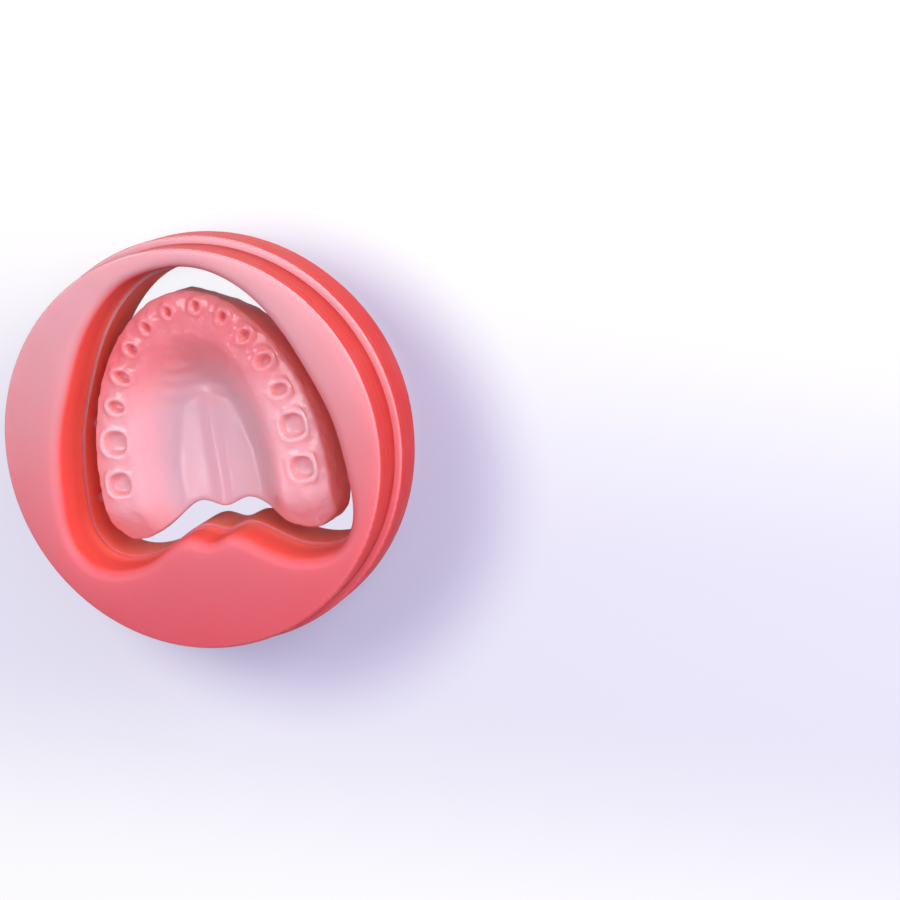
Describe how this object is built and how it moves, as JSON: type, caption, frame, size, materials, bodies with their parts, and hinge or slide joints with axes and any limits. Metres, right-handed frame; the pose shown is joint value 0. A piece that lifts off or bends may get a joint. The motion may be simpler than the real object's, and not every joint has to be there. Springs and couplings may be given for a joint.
{
  "type": "dental milling disc",
  "caption": "Stepped round acrylic milling blank with an upper denture base milled inside its pocket and held by short connector pins.",
  "frame": {"origin": "middle of the rear face, on the disc's axis", "axes": "+Z along the disc's axis, out of the front face; +Y towards the front teeth of the denture base; +X to the right seen from the front"},
  "size_m": [0.0984, 0.0984, 0.025],
  "materials": {
    "pink_acrylic": "satin translucent pink acrylic"
  },
  "bodies": {
    "root": {"milling_disc": "pink_acrylic"}
  },
  "joints": []
}
